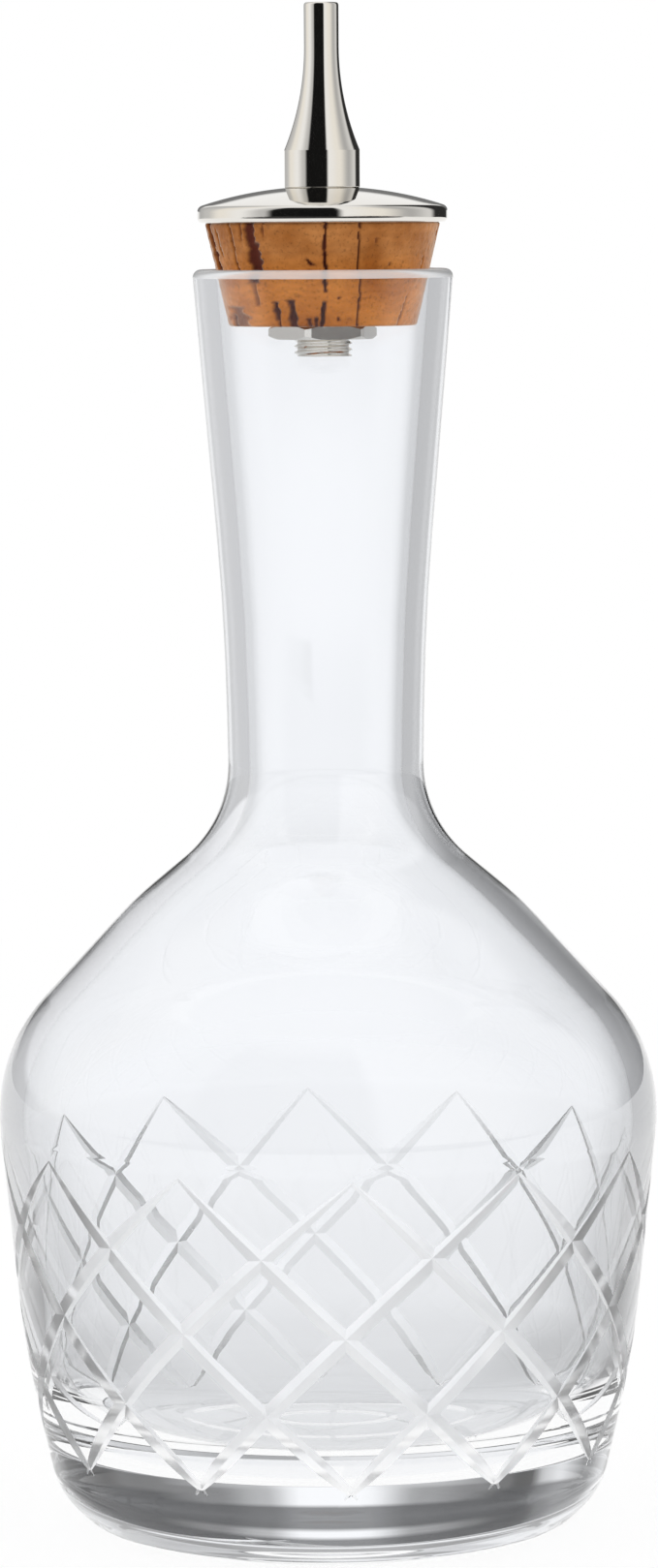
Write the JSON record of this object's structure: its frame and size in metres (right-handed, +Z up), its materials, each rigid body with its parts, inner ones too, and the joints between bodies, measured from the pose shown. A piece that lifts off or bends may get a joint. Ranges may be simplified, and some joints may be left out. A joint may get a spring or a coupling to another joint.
{
  "type": "bitters bottle",
  "caption": "Clear glass bottle with a crossed diagonal cut band, closed by a tapered cork that carries a polished metal dasher spout.",
  "frame": {"origin": "centre of the foot, on the surface the bottle stands on", "axes": "+Z up along the bottle's axis, -Y towards the front"},
  "size_m": [0.0686, 0.0686, 0.158],
  "materials": {
    "clear_glass": "polished, with satin wheel cuts",
    "natural_cork": "natural cork, dry and matt",
    "polished_metal": "polished nickel"
  },
  "bodies": {
    "bottle": {"glass_bottle": "clear_glass"},
    "cork": {"cork_stopper": "natural_cork"},
    "dasher": {"dome_cap": "polished_metal", "dasher_spout": "polished_metal", "threaded_stem": "polished_metal", "hex_nut": "polished_metal"}
  },
  "joints": [
    {"name": "stopper_lift", "type": "slide", "parent": "bottle", "child": "cork", "axis": [0, 0, 1], "range_m": [0, 0.05]},
    {"name": "spout_turn", "type": "hinge", "parent": "cork", "child": "dasher", "pos_m": [0, 0, 0.13], "axis": [0, 0, 1], "continuous": true}
  ]
}
